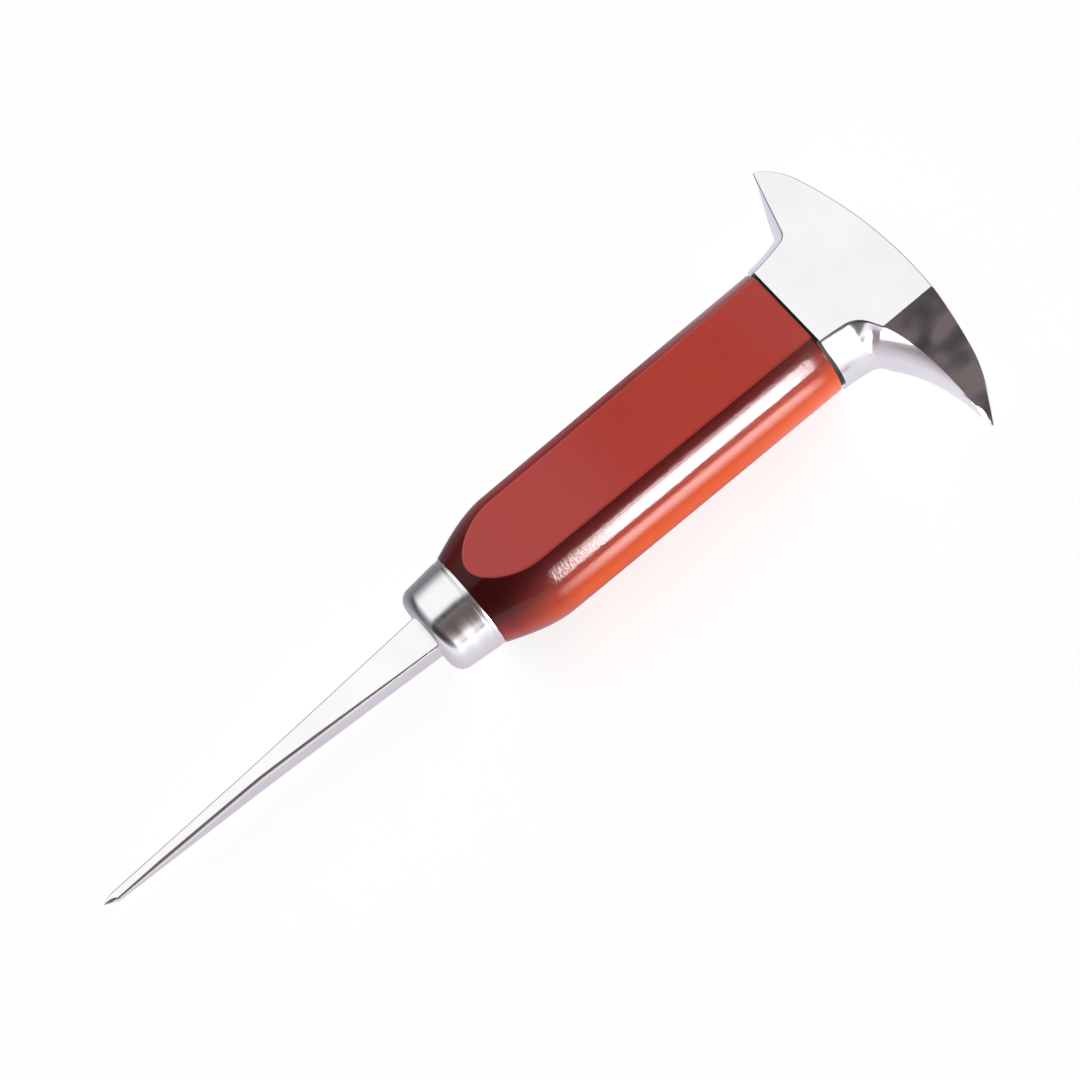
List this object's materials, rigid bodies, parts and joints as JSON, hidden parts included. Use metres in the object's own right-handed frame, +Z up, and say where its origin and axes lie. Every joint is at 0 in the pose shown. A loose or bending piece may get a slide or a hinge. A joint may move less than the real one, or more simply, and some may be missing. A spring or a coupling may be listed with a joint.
{
  "type": "scratch awl with crescent head",
  "caption": "Hand awl: rectangular tapered steel spike in a ferrule, flat-sided red lacquered grip, polished crescent striking head with a long beak and a short spur.",
  "frame": {"origin": "middle of the grip's lower flat, below the tool's axis", "axes": "+X along the tool from the spike to the crescent head, +Z up out of the upper flat, the long beak points to -Y"},
  "size_m": [0.1784, 0.0629, 0.021],
  "materials": {
    "spike_steel": "polished, fine lengthwise grind",
    "ferrule_steel": "satin, turned",
    "hidden_steel": "plain",
    "lacquered_wood": "deep red gloss lacquer",
    "black_spacer": "matt",
    "head_steel": "mirror polished faces, satin undersides",
    "nut_brass": "turned"
  },
  "bodies": {
    "root": {"awl_blade": "spike_steel", "ferrule": "ferrule_steel", "thrust_washer": "hidden_steel", "handle_grip": "lacquered_wood", "neck_spacer": "black_spacer", "crescent_head": "head_steel", "head_stud": "hidden_steel", "coupling_nut": "nut_brass", "dowel_pins": "hidden_steel"}
  },
  "joints": []
}
